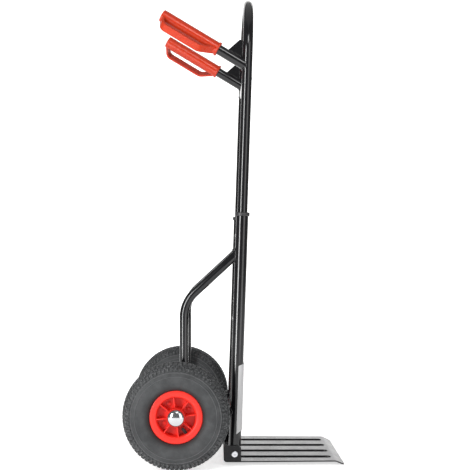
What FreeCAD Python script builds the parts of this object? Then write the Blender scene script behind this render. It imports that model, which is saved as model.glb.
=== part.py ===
"""Two-wheeled hand truck with a telescoping upper frame and a folding toe plate.

Millimetres.  +Z is up, +X points from the frame towards the toe plate, +Y is the user's left.
The origin is on the ground, under the centre of the truck's bounding box.
"""
import FreeCAD, Part
import math
import os

from FreeCAD import Vector

# ---- driving dimensions ------------------------------------------------------------------------

FRAME_LEAN = 1.9              # degrees the frame leans over the toe plate
FRAME_HALF_SPAN = 153.0       # centre of each frame tube from the middle of the truck
FRAME_HEIGHT = 1176.0         # top of the upper loop above the ground
PIVOT_Z = 29.5                # toe plate pivot; it also starts the frame's own height scale

LOWER_TUBE_R = 15.0
UPPER_TUBE_R = 12.5
TUBE_WALL = 1.5
LOWER_TUBE_TOP = 584.0        # heights along the frame, from the pivot
BUSH_FLANGE_R = 18.0
BUSH_FLANGE_H = 9.0
BUSH_SLEEVE_H = 30.0
UPPER_LEG_BOTTOM = 440.0
LOOP_BEND_R = 140.0
RUNNING_GAP = 0.05            # radial play of each running fit

CROSSBAR_R = 11.0
LOWER_CROSSBAR_HEIGHTS = (315.0, 540.0)
UPPER_CROSSBAR_HEIGHT = 925.0
BUTTON_HEIGHT = 500.0
BUTTON_HOLE_STEP = 150.0
BUTTON_HOLES = 3
BUTTON_R = 4.0
SNAP_SPRING_WIDTH = 7.0

HANDLE_HEIGHT = 953.0         # where the handle's axis meets the frame's axis
HANDLE_RISE = 29.1            # degrees above square to the frame
HANDLE_TUBE_END = 238.0
GUSSET_THICKNESS = 4.0
GRIP_START = 82.0
GRIP_END = 246.0
GRIP_R = 15.9
GRIP_COLLAR_R = 16.9
GUARD_REACH = 38.0            # centre of the guard strap from the grip's axis
GUARD_WIDTH = 20.0
GUARD_THICKNESS = 5.0

BACK_PLATE_BOTTOM = 46.0
BACK_PLATE_TOP = 221.0
BACK_PLATE_SHEET = 1.5
BACK_PLATE_WRAP = 80.0        # degrees the plate follows each tube round its front

BRACKET_R = 11.0
BRACKET_X = -124.5            # upright stretch of each wheel bracket
BRACKET_BEND_Z = 400.0
BRACKET_JOIN_Z = 530.0
BRACKET_UPPER_BEND_R = 84.0
BRACKET_LOWER_BEND_R = 45.0
AXLE_PLATE_THICKNESS = 6.0
AXLE_PLATE_R = 24.0

WHEEL_R = 130.0
WHEEL_CENTRE_Y = 215.0
TYRE_HALF_WIDTH = 41.0
AXLE_X = -141.0
AXLE_R = 10.0
HUB_R = 22.0
HUB_HALF_LENGTH = 35.0
HUB_CAP_R = 20.5
RIM_FLANGE_R = 64.0
RIM_HALF_WIDTH = 27.5
RIM_FLANGE_THICKNESS = 4.0
RIM_BARREL_R = 50.0
RIM_RECESS_R = 46.5
RIB_COUNT = 8
RIB_THICKNESS = 2.4
RIB_PHASE = 7.0
BEARING_R = 15.0
BEARING_LENGTH = 22.0
VALVE_ANGLE = -59.0
VALVE_R = 4.0
RIM_SCREW_CIRCLE_R = 34.0

PLATE_SHEET = 3.0
PLATE_TOP_Z = 12.0
PLATE_HALF_WIDTH = 172.0
PLATE_FRONT_HALF_WIDTH = 163.0
PLATE_REAR_X = -27.0
PLATE_FOLD_X = 249.5
PLATE_TIP_X = 271.0
PLATE_CORNER_R = 13.0
EAR_FRONT_X = 16.0
EAR_TOP_Z = 50.0
REAR_FLANGE_TOP_Z = 34.0
LOAD_FACE_REAR_X = 20.0       # seam between the load face and the strip under the legs
GROOVE_COUNT = 4
GROOVE_SPACING = 77.0
GROOVE_WIDTH = 28.0
GROOVE_DEPTH = 6.0
GROOVE_SLOPE = 2.0
GROOVE_CORNER_R = 9.0
GROOVE_START_X = 6.0
GROOVE_END_X = 242.0

PIVOT_BOLT_R = 4.0
PIVOT_HEAD_R = 8.0
PIVOT_HEAD_H = 4.5

SIDES = {"left": 1.0, "right": -1.0}
LEAN = math.radians(FRAME_LEAN)
AXLE_Z = WHEEL_R
Y_AXIS = Vector(0, 1, 0)

parts = {}


# ---- shared geometry ---------------------------------------------------------------------------

def rod(start, end, radius):
    """A solid cylinder from one point to another."""
    along = end - start
    return Part.makeCylinder(radius, along.Length, start, along)


def pipe(start, end, outer, inner):
    """A straight tube from one point to another."""
    return rod(start, end, outer).cut(rod(start, end, inner))


def rounded_path(corners, radii):
    """Straight runs through the corners, joined by tangent arcs of the given radii."""
    edges = []
    begin = corners[0]
    for before, corner, after, radius in zip(corners, corners[1:], corners[2:], radii):
        inward = (before - corner).normalize()
        onward = (after - corner).normalize()
        half_angle = inward.getAngle(onward) / 2
        tangent = radius / math.tan(half_angle)
        bisector = (inward + onward).normalize()
        middle = corner + bisector * (radius / math.sin(half_angle) - radius)
        arc_start = corner + inward * tangent
        arc_end = corner + onward * tangent
        if (arc_start - begin).Length > 1e-6:
            edges.append(Part.LineSegment(begin, arc_start).toShape())
        edges.append(Part.Arc(arc_start, middle, arc_end).toShape())
        begin = arc_end
    edges.append(Part.LineSegment(begin, corners[-1]).toShape())
    return Part.Wire(edges)


def swept_rod(path, radius):
    """A solid round bar that follows a path."""
    start = path.OrderedVertexes[0].Point
    heading = path.OrderedEdges[0].tangentAt(path.OrderedEdges[0].FirstParameter)
    circle = Part.Wire(Part.makeCircle(radius, start, heading))
    return path.makePipeShell([circle], True, True)


def swept_pipe(path, outer, wall):
    """A bent tube that follows a path."""
    return swept_rod(path, outer).cut(swept_rod(path, outer - wall))


def slab(points, thickness_vector):
    """A flat plate: a closed outline given by its corners, pushed along a vector."""
    return Part.Face(Part.makePolygon(points + points[:1])).extrude(thickness_vector)


def on_frame(shape):
    """Leans a shape that was built upright, with the pivot at the origin, into the frame."""
    placed = shape.copy()
    placed.rotate(Vector(0, 0, 0), Y_AXIS, FRAME_LEAN)
    placed.translate(Vector(0, 0, PIVOT_Z))
    return placed


def frame_point(x, y, height):
    """A point given square to the leaning frame, in the truck's own frame."""
    return Vector(x * math.cos(LEAN) + height * math.sin(LEAN), y,
                  PIVOT_Z + height * math.cos(LEAN) - x * math.sin(LEAN))


def frame_post(side, bottom, top, radius):
    """The solid space that a frame tube fills, for trimming what is welded to it."""
    y = SIDES[side] * FRAME_HALF_SPAN
    return rod(frame_point(0, y, bottom), frame_point(0, y, top), radius)


def axle_ring(side, inner, outer, near, far):
    """A ring round the axle line, between two distances from the middle of the truck."""
    start = Vector(AXLE_X, SIDES[side] * near, AXLE_Z)
    end = Vector(AXLE_X, SIDES[side] * far, AXLE_Z)
    return pipe(start, end, outer, inner) if inner else rod(start, end, outer)


def turned(side, outline):
    """A body of revolution about the axle; the outline lists (distance from middle, radius)."""
    points = [Vector(AXLE_X, SIDES[side] * y, AXLE_Z + r) for y, r in outline]
    face = Part.Face(Part.makePolygon(points + points[:1]))
    return face.revolve(Vector(AXLE_X, 0, AXLE_Z), Y_AXIS, 360)


# ---- lower frame -------------------------------------------------------------------------------

LOOP_TOP = (FRAME_HEIGHT - PIVOT_Z) / math.cos(LEAN) - UPPER_TUBE_R
FOOT_CLEARANCE = 0.3
PIVOT_TO_PLATE = PIVOT_Z - PLATE_TOP_Z


def lower_tube(side):
    """Leg tube; its foot stands on the toe plate behind the pivot and is rounded in front."""
    y = SIDES[side] * FRAME_HALF_SPAN
    foot = PIVOT_TO_PLATE + 10
    tube = pipe(frame_point(0, y, -foot), frame_point(0, y, LOWER_TUBE_TOP),
                LOWER_TUBE_R, LOWER_TUBE_R - TUBE_WALL)
    below = Part.makeBox(100, 100, 100)
    below.translate(Vector(-50, y - 50, PLATE_TOP_Z + FOOT_CLEARANCE - 100))
    tube = tube.cut(below)
    turning_space = Part.makeBox(30, 60, 30, Vector(0, y - 30, PIVOT_Z - 30))
    swept = rod(Vector(0, y - 30, PIVOT_Z), Vector(0, y + 30, PIVOT_Z), PIVOT_TO_PLATE - FOOT_CLEARANCE)
    tube = tube.cut(turning_space.cut(swept))
    tube = tube.cut(rod(Vector(0, y - 20, PIVOT_Z), Vector(0, y + 20, PIVOT_Z), PIVOT_BOLT_R + 0.1))
    for index in range(BUTTON_HOLES):
        hole_height = BUTTON_HEIGHT - index * BUTTON_HOLE_STEP
        tube = tube.cut(rod(frame_point(0, y, hole_height), frame_point(0, 0, hole_height), BUTTON_R + 0.4))
    return tube


def guide_bush(side):
    """Plastic collar on the mouth of the lower tube, with the sleeve that guides the upper leg."""
    y = SIDES[side] * FRAME_HALF_SPAN
    bore = UPPER_TUBE_R + RUNNING_GAP
    flange = rod(Vector(0, y, LOWER_TUBE_TOP), Vector(0, y, LOWER_TUBE_TOP + BUSH_FLANGE_H), BUSH_FLANGE_R)
    flange = flange.makeFillet(2.0, [flange.Edges[0], flange.Edges[2]])
    sleeve = rod(Vector(0, y, LOWER_TUBE_TOP - BUSH_SLEEVE_H), Vector(0, y, LOWER_TUBE_TOP),
                 LOWER_TUBE_R - TUBE_WALL)
    hole = rod(Vector(0, y, LOWER_TUBE_TOP - 2 * BUSH_SLEEVE_H),
               Vector(0, y, LOWER_TUBE_TOP + 2 * BUSH_SLEEVE_H), bore)
    return on_frame(flange.fuse(sleeve).removeSplitter().cut(hole))


def crossbar(height, post_radius):
    """Round tube welded square between two frame tubes."""
    bar = pipe(frame_point(0, -FRAME_HALF_SPAN, height), frame_point(0, FRAME_HALF_SPAN, height),
               CROSSBAR_R, CROSSBAR_R - TUBE_WALL)
    for side in SIDES:
        bar = bar.cut(frame_post(side, height - 40, height + 40, post_radius))
    return bar


def wrapped_outline(offset):
    """Front outline of the back plate, a given distance outside the tubes, from side to side."""
    radius = LOWER_TUBE_R + offset
    wrap = math.radians(BACK_PLATE_WRAP)
    ends = []
    for sign in (-1, 1):
        y = sign * FRAME_HALF_SPAN
        front = Vector(radius, y, 0)
        middle = Vector(radius * math.cos(wrap / 2), y + sign * radius * math.sin(wrap / 2), 0)
        tail = Vector(radius * math.cos(wrap), y + sign * radius * math.sin(wrap), 0)
        ends.append((front, middle, tail))
    right, left = ends
    return [Part.Arc(right[2], right[1], right[0]).toShape(),
            Part.LineSegment(right[0], left[0]).toShape(),
            Part.Arc(left[0], left[1], left[2]).toShape()], right[2], left[2]


def back_plate():
    """Thin sheet across the fronts of both lower tubes, wrapped round them and cut at a slant."""
    inner, inner_right, inner_left = wrapped_outline(0)
    outer, outer_right, outer_left = wrapped_outline(BACK_PLATE_SHEET)
    ends = [Part.LineSegment(inner_left, outer_left).toShape(),
            Part.LineSegment(inner_right, outer_right).toShape()]
    face = Part.Face(Part.Wire(Part.__sortEdges__(inner + outer + ends)))
    plate = face.extrude(Vector(0, 0, BACK_PLATE_TOP - BACK_PLATE_BOTTOM))
    plate.translate(Vector(0, 0, BACK_PLATE_BOTTOM))
    width = 2 * PLATE_HALF_WIDTH
    front = LOWER_TUBE_R + BACK_PLATE_SHEET
    top_slant, bottom_slant = 7.0, 12.0
    top_wedge = slab([Vector(front, -width / 2, BACK_PLATE_TOP),
                      Vector(0, -width / 2, BACK_PLATE_TOP),
                      Vector(0, -width / 2, BACK_PLATE_TOP - top_slant)], Vector(0, width, 0))
    bottom_wedge = slab([Vector(0, -width / 2, BACK_PLATE_BOTTOM),
                         Vector(front, -width / 2, BACK_PLATE_BOTTOM),
                         Vector(front, -width / 2, BACK_PLATE_BOTTOM + bottom_slant)], Vector(0, width, 0))
    plate = plate.cut(top_wedge).cut(bottom_wedge)
    return on_frame(plate)


def bracket_path(side):
    """Centre line of a wheel bracket: down from the frame, upright, then forward under the axle."""
    y = SIDES[side] * FRAME_HALF_SPAN
    top_x = (BRACKET_JOIN_Z - PIVOT_Z) * math.tan(LEAN)
    stay_x = (AXLE_Z - PIVOT_Z) * math.tan(LEAN)
    corners = [Vector(top_x, y, BRACKET_JOIN_Z), Vector(BRACKET_X, y, BRACKET_BEND_Z),
               Vector(BRACKET_X, y, AXLE_Z), Vector(stay_x, y, AXLE_Z)]
    return rounded_path(corners, [BRACKET_UPPER_BEND_R, BRACKET_LOWER_BEND_R])


def wheel_bracket(side):
    """Bent tube that carries one end of the axle, trimmed to sit on the lower tube."""
    tube = swept_pipe(bracket_path(side), BRACKET_R, TUBE_WALL)
    return tube.cut(frame_post(side, 50, LOWER_TUBE_TOP, LOWER_TUBE_R))


def axle_plate(side):
    """Plate welded into the outside of the bracket's lower bend; the axle passes through it."""
    y = SIDES[side] * FRAME_HALF_SPAN
    start = Vector(0, y - AXLE_PLATE_THICKNESS / 2, 0)
    bend_x = BRACKET_X + BRACKET_LOWER_BEND_R
    bend_z = AXLE_Z + BRACKET_LOWER_BEND_R
    reach = BRACKET_LOWER_BEND_R * math.sqrt(0.5)
    outline = [(BRACKET_X, bend_z + 20), (BRACKET_X - 12, bend_z + 20),
               (AXLE_X - AXLE_PLATE_R, AXLE_Z + 4), (AXLE_X - 12, AXLE_Z - AXLE_PLATE_R + 3),
               (AXLE_X + 6, AXLE_Z - AXLE_PLATE_R), (bend_x, AXLE_Z - 12), (bend_x, AXLE_Z),
               (bend_x - reach, bend_z - reach), (BRACKET_X, bend_z)]
    plate = slab([Vector(x, start.y, z) for x, z in outline], Vector(0, AXLE_PLATE_THICKNESS, 0))
    boss = Part.makeCylinder(AXLE_PLATE_R, AXLE_PLATE_THICKNESS, Vector(AXLE_X, start.y, AXLE_Z), Y_AXIS)
    plate = plate.fuse(boss).removeSplitter()
    plate = plate.cut(swept_rod(bracket_path(side), BRACKET_R))
    return plate.cut(rod(Vector(AXLE_X, y - 20, AXLE_Z), Vector(AXLE_X, y + 20, AXLE_Z), AXLE_R))


parts["axle"] = rod(Vector(AXLE_X, -(WHEEL_CENTRE_Y + 39), AXLE_Z),
                    Vector(AXLE_X, WHEEL_CENTRE_Y + 39, AXLE_Z), AXLE_R)
parts["back_plate"] = back_plate()
for number, bar_height in enumerate(LOWER_CROSSBAR_HEIGHTS, start=1):
    parts[f"lower_crossbar_{number}"] = crossbar(bar_height, LOWER_TUBE_R)

HUB_INNER = WHEEL_CENTRE_Y - HUB_HALF_LENGTH
HUB_OUTER = WHEEL_CENTRE_Y + HUB_HALF_LENGTH
WASHER_THICKNESS = 2.0
WASHER_GAP = 0.1

for side_name in SIDES:
    parts[f"lower_tube_{side_name}"] = lower_tube(side_name)
    parts[f"guide_bush_{side_name}"] = guide_bush(side_name)
    parts[f"wheel_bracket_{side_name}"] = wheel_bracket(side_name)
    parts[f"axle_plate_{side_name}"] = axle_plate(side_name)
    spacer_end = HUB_INNER - WASHER_GAP - WASHER_THICKNESS
    parts[f"axle_spacer_{side_name}"] = axle_ring(
        side_name, AXLE_R, AXLE_R + 4, FRAME_HALF_SPAN + AXLE_PLATE_THICKNESS / 2, spacer_end)

axle_washers = []
for side_name in SIDES:
    for washer_start in (HUB_INNER - WASHER_GAP - WASHER_THICKNESS, HUB_OUTER + WASHER_GAP):
        axle_washers.append(axle_ring(side_name, AXLE_R, AXLE_R + 8, washer_start,
                                      washer_start + WASHER_THICKNESS))
parts["axle_washers"] = Part.Compound(axle_washers)


def hub_cap(side):
    """Pressed domed cap driven on to the axle's end."""
    base = HUB_OUTER + WASHER_GAP + WASHER_THICKNESS
    sheet = 1.0
    dome = 11.5
    steps = 8
    outer = []
    inner = []
    for step in range(steps + 1):
        angle = math.radians(90 * step / steps)
        outer.append((base + 1.5 + dome * math.sin(angle), HUB_CAP_R * math.cos(angle)))
        inner.append((base + 1.5 + (dome - sheet) * math.sin(angle), (HUB_CAP_R - sheet) * math.cos(angle)))
    shell = [(base, HUB_CAP_R)] + outer + inner[::-1] + [(base, HUB_CAP_R - sheet)]
    cleaned = [(y, max(r, 0.0)) for y, r in shell]
    return turned(side, cleaned)


for side_name in SIDES:
    parts[f"hub_cap_{side_name}"] = hub_cap(side_name)

# ---- toe plate pivots --------------------------------------------------------------------------

EAR_INNER = PLATE_HALF_WIDTH - PLATE_SHEET
TUBE_OUTER = FRAME_HALF_SPAN + LOWER_TUBE_R
TUBE_INNER = FRAME_HALF_SPAN - LOWER_TUBE_R


def pivot_ring(side, inner, outer, near, far):
    """A ring round the pivot line, between two distances from the middle of the truck."""
    start = Vector(0, SIDES[side] * near, PIVOT_Z)
    end = Vector(0, SIDES[side] * far, PIVOT_Z)
    return pipe(start, end, outer, inner) if inner else rod(start, end, outer)


def pivot_bolt(side):
    """Button-head screw through the ear and the tube, with a hexagon socket."""
    nut_end = TUBE_INNER - 10
    shank = pivot_ring(side, 0, PIVOT_BOLT_R, nut_end, PLATE_HALF_WIDTH + 0.1)
    head_base = PLATE_HALF_WIDTH + 0.1
    head = pivot_ring(side, 0, PIVOT_HEAD_R, head_base, head_base + PIVOT_HEAD_H)
    rim = [edge for edge in head.Edges if abs(abs(edge.CenterOfMass.y) - head_base - PIVOT_HEAD_H) < 1e-3]
    head = head.makeFillet(2.5, rim[:1])
    socket_points = []
    for corner in range(6):
        angle = math.radians(60 * corner)
        socket_points.append(Vector(2.9 * math.cos(angle), SIDES[side] * (head_base + 1.8),
                                    PIVOT_Z + 2.9 * math.sin(angle)))
    socket = slab(socket_points, Vector(0, SIDES[side] * 6, 0))
    return shank.fuse(head).removeSplitter().cut(socket)


def hexagon_nut(side, across_flats, near, far):
    """Plain hexagon nut on the pivot line, bored for the screw."""
    corner_r = across_flats / math.sqrt(3)
    points = []
    for corner in range(6):
        angle = math.radians(60 * corner)
        points.append(Vector(corner_r * math.cos(angle), SIDES[side] * near,
                             PIVOT_Z + corner_r * math.sin(angle)))
    nut = slab(points, Vector(0, SIDES[side] * (far - near), 0))
    return nut.cut(pivot_ring(side, 0, PIVOT_BOLT_R, near - 1, far + 1))


parts["pivot_bolts"] = Part.Compound([pivot_bolt(name) for name in SIDES])
parts["pivot_nuts"] = Part.Compound([hexagon_nut(name, 13.0, TUBE_INNER - 8.5, TUBE_INNER - 1.6)
                                     for name in SIDES])
pivot_washers = []
for side_name in SIDES:
    pivot_washers.append(pivot_ring(side_name, PIVOT_BOLT_R, 8.0, TUBE_INNER - 1.6, TUBE_INNER))
    pivot_washers.append(pivot_ring(side_name, PIVOT_BOLT_R, 8.0, TUBE_OUTER, EAR_INNER - RUNNING_GAP))
parts["pivot_washers"] = Part.Compound(pivot_washers)

# ---- upper frame -------------------------------------------------------------------------------


def upper_loop():
    """Inverted U of tube whose legs slide in the lower tubes."""
    corners = [Vector(0, -FRAME_HALF_SPAN, UPPER_LEG_BOTTOM), Vector(0, -FRAME_HALF_SPAN, LOOP_TOP),
               Vector(0, FRAME_HALF_SPAN, LOOP_TOP), Vector(0, FRAME_HALF_SPAN, UPPER_LEG_BOTTOM)]
    loop = swept_pipe(rounded_path(corners, [LOOP_BEND_R, LOOP_BEND_R]), UPPER_TUBE_R, TUBE_WALL)
    for y in (-FRAME_HALF_SPAN, FRAME_HALF_SPAN):
        loop = loop.cut(rod(Vector(0, y, BUTTON_HEIGHT), Vector(0, 0, BUTTON_HEIGHT), BUTTON_R + RUNNING_GAP))
    return on_frame(loop)


def guide_plug(side):
    """Plastic plug in the foot of an upper leg; its collar runs in the lower tube."""
    y = SIDES[side] * FRAME_HALF_SPAN
    collar_r = LOWER_TUBE_R - TUBE_WALL - RUNNING_GAP
    collar = rod(Vector(0, y, UPPER_LEG_BOTTOM - 10), Vector(0, y, UPPER_LEG_BOTTOM), collar_r)
    shank = rod(Vector(0, y, UPPER_LEG_BOTTOM), Vector(0, y, UPPER_LEG_BOTTOM + 22), UPPER_TUBE_R - TUBE_WALL)
    return on_frame(collar.fuse(shank).removeSplitter())


def snap_button(side):
    """Round lock button in the inner side of an upper leg, held in by its own flange."""
    sign = SIDES[side]
    y = sign * FRAME_HALF_SPAN
    tip = math.sqrt((LOWER_TUBE_R - TUBE_WALL) ** 2 - BUTTON_R ** 2) - 2 * RUNNING_GAP
    flange_face = UPPER_TUBE_R - TUBE_WALL - 1.2
    pin = rod(Vector(0, y - sign * (flange_face - 1.5), BUTTON_HEIGHT),
              Vector(0, y - sign * tip, BUTTON_HEIGHT), BUTTON_R)
    end = [edge for edge in pin.Edges if abs(edge.CenterOfMass.y - (y - sign * tip)) < 1e-3]
    pin = pin.makeFillet(0.6, end[:1])
    flange = rod(Vector(0, y - sign * (flange_face - 1.5), BUTTON_HEIGHT),
                 Vector(0, y - sign * flange_face, BUTTON_HEIGHT), BUTTON_R + 1.0)
    return on_frame(pin.fuse(flange).removeSplitter())


def snap_spring(side):
    """Leaf spring bent to a V inside an upper leg; it pushes the button outward."""
    sign = SIDES[side]
    y = sign * FRAME_HALF_SPAN
    button_face = y - sign * (UPPER_TUBE_R - TUBE_WALL - 2.7)
    wall_face = y + sign * (UPPER_TUBE_R - TUBE_WALL - 1.2)
    leaf = 0.8
    foot = BUTTON_HEIGHT - 34
    edge = -SNAP_SPRING_WIDTH / 2
    points = [Vector(edge, button_face, BUTTON_HEIGHT + 6),
              Vector(edge, button_face + sign * leaf, BUTTON_HEIGHT + 6),
              Vector(edge, y + sign * 1.0, foot + 4),
              Vector(edge, wall_face - sign * leaf, BUTTON_HEIGHT),
              Vector(edge, wall_face, BUTTON_HEIGHT),
              Vector(edge, y + sign * 1.0, foot),
              Vector(edge, button_face, BUTTON_HEIGHT - 6)]
    return on_frame(slab(points, Vector(SNAP_SPRING_WIDTH, 0, 0)))


HANDLE_ANGLE = math.radians(HANDLE_RISE)


def handle_point(side, along):
    """A point on a handle's centre line, in upright frame coordinates."""
    return Vector(-along * math.cos(HANDLE_ANGLE), SIDES[side] * FRAME_HALF_SPAN,
                  HANDLE_HEIGHT + along * math.sin(HANDLE_ANGLE))


def handle_tube(side):
    """Tube that rises rearward from the upper leg and carries the grip."""
    tube = pipe(handle_point(side, 0), handle_point(side, HANDLE_TUBE_END),
                UPPER_TUBE_R, UPPER_TUBE_R - TUBE_WALL)
    y = SIDES[side] * FRAME_HALF_SPAN
    post = rod(Vector(0, y, HANDLE_HEIGHT - 60), Vector(0, y, HANDLE_HEIGHT + 60), UPPER_TUBE_R)
    return on_frame(tube.cut(post))


def gusset(side):
    """Flat corner plate welded between the handle's top and the upper leg."""
    y = SIDES[side] * FRAME_HALF_SPAN
    near = y - GUSSET_THICKNESS / 2
    foot = handle_point(side, 56)
    outline = [Vector(foot.x, near, foot.z + 12), Vector(-20.5, near, HANDLE_HEIGHT + 66),
               Vector(-12, near, HANDLE_HEIGHT + 62), Vector(0, near, HANDLE_HEIGHT + 62),
               Vector(0, near, HANDLE_HEIGHT), Vector(foot.x, near, foot.z)]
    plate = slab(outline, Vector(0, GUSSET_THICKNESS, 0))
    post = rod(Vector(0, y, HANDLE_HEIGHT - 60), Vector(0, y, HANDLE_HEIGHT + 100), UPPER_TUBE_R)
    arm = rod(handle_point(side, 0), handle_point(side, HANDLE_TUBE_END), UPPER_TUBE_R)
    return on_frame(plate.cut(post).cut(arm)).cut(parts["upper_loop"])


def grip(side):
    """Moulded handle grip with a strap-shaped guard, closed over the handle tube's end."""
    length = GRIP_END - GRIP_START
    body = Part.makeCylinder(GRIP_R, length)
    rear_edges = [edge for edge in body.Edges if abs(edge.CenterOfMass.z - length) < 1e-3]
    body = body.makeFillet(3.0, rear_edges[:1])
    collar = Part.makeCylinder(GRIP_COLLAR_R, 6.0)
    front, rear = 8.0, length - 4.0
    corners = [Vector(GRIP_R - 5, 0, front), Vector(GUARD_REACH, 0, front + 34),
               Vector(GUARD_REACH, 0, rear - 14), Vector(GRIP_R - 5, 0, rear - 2)]
    path = rounded_path(corners, [22.0, 16.0])
    first = path.OrderedEdges[0]
    heading = first.tangentAt(first.FirstParameter)
    across = Vector(0, 1, 0)
    flat = heading.cross(across).normalize()
    half_width, half_thickness = GUARD_WIDTH / 2, GUARD_THICKNESS / 2
    section = [corners[0] + across * a * half_width + flat * b * half_thickness
               for a, b in ((-1, -1), (1, -1), (1, 1), (-1, 1))]
    strap = path.makePipeShell([Part.makePolygon(section + section[:1])], True, False)
    bore = Part.makeCylinder(UPPER_TUBE_R, HANDLE_TUBE_END - GRIP_START)
    shape = body.fuse([collar, strap]).removeSplitter().cut(bore)
    along = Vector(-math.cos(HANDLE_ANGLE), 0, math.sin(HANDLE_ANGLE))
    below = Vector(-math.sin(HANDLE_ANGLE), 0, -math.cos(HANDLE_ANGLE))
    outward = (below + Vector(0, SIDES[side], 0)).normalize()
    turn = FreeCAD.Rotation(outward, along.cross(outward), along, "ZXY")
    shape.Placement = FreeCAD.Placement(handle_point(side, GRIP_START), turn)
    return on_frame(shape)


parts["upper_loop"] = upper_loop()
parts["upper_crossbar"] = crossbar(UPPER_CROSSBAR_HEIGHT, UPPER_TUBE_R)
for side_name in SIDES:
    parts[f"guide_plug_{side_name}"] = guide_plug(side_name)
    parts[f"snap_button_{side_name}"] = snap_button(side_name)
    parts[f"snap_spring_{side_name}"] = snap_spring(side_name)
    parts[f"handle_tube_{side_name}"] = handle_tube(side_name)
    parts[f"gusset_{side_name}"] = gusset(side_name)
    parts[f"grip_{side_name}"] = grip(side_name)

# ---- toe plate ---------------------------------------------------------------------------------

PLATE_MIDDLE_Z = PLATE_TOP_Z - PLATE_SHEET / 2


def slot_outline(start_x, end_x, y, half_width, corner_r, z):
    """Closed outline of a long slot with rounded corners."""
    edges = []
    corners = [(end_x, 1, 0), (end_x, 1, 90), (start_x, -1, 180), (start_x, -1, 270)]
    arcs = []
    for x, inward, turn in corners:
        across = -1 if turn in (0, 270) else 1
        centre = Vector(x - inward * corner_r, y + across * (half_width - corner_r), z)
        start = math.radians(turn - 90)
        arcs.append([centre + Vector(math.cos(start + a), math.sin(start + a), 0) * corner_r
                     for a in (0, math.pi / 4, math.pi / 2)])
    for index, arc in enumerate(arcs):
        edges.append(Part.Arc(*arc).toShape())
        edges.append(Part.LineSegment(arc[2], arcs[(index + 1) % 4][0]).toShape())
    return Part.Wire(edges)


def groove_solid(y, top_z, grow, depth):
    """A long shallow trough with sloping walls, as a solid to add or to cut."""
    start = GROOVE_START_X - grow
    end = GROOVE_END_X + grow
    half = GROOVE_WIDTH / 2 + grow
    rims = [slot_outline(start, end, y, half, GROOVE_CORNER_R, top_z),
            slot_outline(start + GROOVE_SLOPE, end - GROOVE_SLOPE, y, half - GROOVE_SLOPE,
                         GROOVE_CORNER_R - GROOVE_SLOPE, top_z - depth)]
    return Part.makeLoft(rims, True, True)


def crosswise_edges(shape):
    """The straight edges of a shape that run across the truck."""
    return [edge for edge in shape.Edges
            if edge.Curve.TypeId == "Part::GeomLine" and abs(edge.tangentAt(edge.FirstParameter).y) > 0.9]


def toe_plate():
    """One sheet: rear flange, floor with four pressed grooves, sloping lip and two side ears."""
    lip_angle = math.atan2(PLATE_MIDDLE_Z - PLATE_SHEET / 2, PLATE_TIP_X - PLATE_FOLD_X)
    half = PLATE_SHEET / 2
    tip = Vector(PLATE_TIP_X - half * math.sin(lip_angle), 0, half * math.cos(lip_angle))
    rear = PLATE_REAR_X + half
    corners = [Vector(rear, 0, REAR_FLANGE_TOP_Z), Vector(rear, 0, PLATE_MIDDLE_Z),
               Vector(PLATE_FOLD_X, 0, PLATE_MIDDLE_Z), tip]
    path = rounded_path(corners, [6.5, 12.0])
    section = [Vector(rear + a * half, b * PLATE_HALF_WIDTH, REAR_FLANGE_TOP_Z)
               for a, b in ((-1, -1), (1, -1), (1, 1), (-1, 1))]
    sheet = path.makePipeShell([Part.makePolygon(section + section[:1])], True, False)
    outline = []
    for sign in (-1, 1):
        outline.append([Vector(PLATE_REAR_X, sign * PLATE_HALF_WIDTH, 0),
                        Vector(EAR_FRONT_X, sign * PLATE_HALF_WIDTH, 0),
                        Vector(PLATE_TIP_X + 5, sign * PLATE_FRONT_HALF_WIDTH, 0)])
    trimmed = slab(outline[0] + outline[1][::-1], Vector(0, 0, EAR_TOP_Z))
    trimmed.translate(Vector(0, 0, -5))
    sheet = sheet.common(trimmed)
    for sign in (-1, 1):
        corner_y = sign * (PLATE_FRONT_HALF_WIDTH - PLATE_CORNER_R)
        corner_x = PLATE_TIP_X - PLATE_CORNER_R
        block = Part.makeBox(60, 60, 60)
        block.translate(Vector(corner_x, corner_y if sign > 0 else corner_y - 60, -20))
        disc = Part.makeCylinder(PLATE_CORNER_R, 60, Vector(corner_x, corner_y, -20))
        sheet = sheet.cut(block.cut(disc))
    for index in range(GROOVE_COUNT):
        y = GROOVE_SPACING * (index - (GROOVE_COUNT - 1) / 2)
        outer = groove_solid(y, PLATE_TOP_Z - PLATE_SHEET, 1.5, GROOVE_DEPTH)
        inner = groove_solid(y, PLATE_TOP_Z, 0.0, GROOVE_DEPTH)
        sheet = sheet.fuse(outer).cut(inner)
    for side, sign in SIDES.items():
        near = sign * EAR_INNER
        ear = slab([Vector(PLATE_REAR_X, near, PLATE_TOP_Z - PLATE_SHEET),
                    Vector(EAR_FRONT_X, near, PLATE_TOP_Z - PLATE_SHEET),
                    Vector(EAR_FRONT_X, near, EAR_TOP_Z), Vector(PLATE_REAR_X, near, EAR_TOP_Z)],
                   Vector(0, sign * PLATE_SHEET, 0))
        ear = ear.makeFillet(8.0, [edge for edge in crosswise_edges(ear)
                                   if edge.CenterOfMass.x < 0 and edge.CenterOfMass.z < PIVOT_Z])
        ear = ear.makeFillet(7.0, [edge for edge in crosswise_edges(ear)
                                   if edge.CenterOfMass.z > EAR_TOP_Z - 1])
        sheet = sheet.fuse(ear)
        sheet = sheet.cut(pivot_ring(side, 0, PIVOT_BOLT_R + RUNNING_GAP, EAR_INNER - 5, EAR_INNER + 10))
    # A seam line in front of the legs' feet bounds the load face, so that face is clear all over.
    sheet = sheet.removeSplitter()
    behind = Part.makeBox(100, 400, 100, Vector(LOAD_FACE_REAR_X - 100, -200, -20))
    return sheet.cut(behind).fuse(sheet.common(behind))


parts["toe_plate"] = toe_plate()

# ---- wheels ------------------------------------------------------------------------------------


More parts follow.
